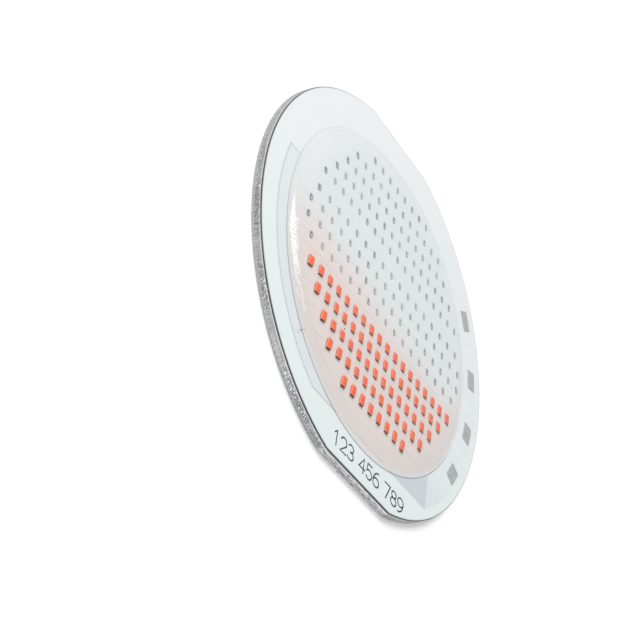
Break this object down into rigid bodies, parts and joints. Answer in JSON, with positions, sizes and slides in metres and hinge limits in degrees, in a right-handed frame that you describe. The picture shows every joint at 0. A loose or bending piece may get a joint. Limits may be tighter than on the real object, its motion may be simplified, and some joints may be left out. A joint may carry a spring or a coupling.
{
  "type": "cob led",
  "caption": "Round chip-on-board LED: white aluminium-core board with two flats, rows of clear and red chips under a clear silicone dome, wire pads on the rim",
  "frame": {"origin": "centre of the flat back face of the board", "axes": "+Z out of the lit face, +X along the chip rows towards the wire pads, +Y towards the blue zone, square to the two flats"},
  "size_m": [0.062, 0.06, 0.0033],
  "materials": {
    "aluminium_core": "punched edge, matte back",
    "dielectric": "matte",
    "copper": "etched copper",
    "white_mask": "satin white mask",
    "tin": "dull tin",
    "solder": "reflowed solder",
    "blue_chip": "polished sapphire",
    "green_chip": "polished sapphire",
    "red_chip": "satin orange red",
    "clear_silicone": "clear and glossy"
  },
  "bodies": {
    "root": {"base_plate": "aluminium_core", "dielectric_layer": "dielectric", "copper_common": "copper", "copper_blue_feed": "copper", "copper_green_feed": "copper", "copper_red_feed": "copper", "copper_blue_links": "copper", "copper_green_links": "copper", "copper_red_links": "copper", "solder_mask": "white_mask", "pad_blue": "tin", "pad_green": "tin", "pad_red": "tin", "pad_common": "tin", "blue_joints": "solder", "green_joints": "solder", "red_joints": "solder", "blue_row_1": "blue_chip", "blue_row_2": "blue_chip", "blue_row_3": "blue_chip", "blue_row_4": "blue_chip", "blue_row_5": "blue_chip", "green_row_1": "green_chip", "green_row_2": "green_chip", "green_row_3": "green_chip", "green_row_4": "green_chip", "red_row_1": "red_chip", "red_row_2": "red_chip", "red_row_3": "red_chip", "red_row_4": "red_chip", "red_row_5": "red_chip", "encapsulant": "clear_silicone"}
  },
  "joints": []
}
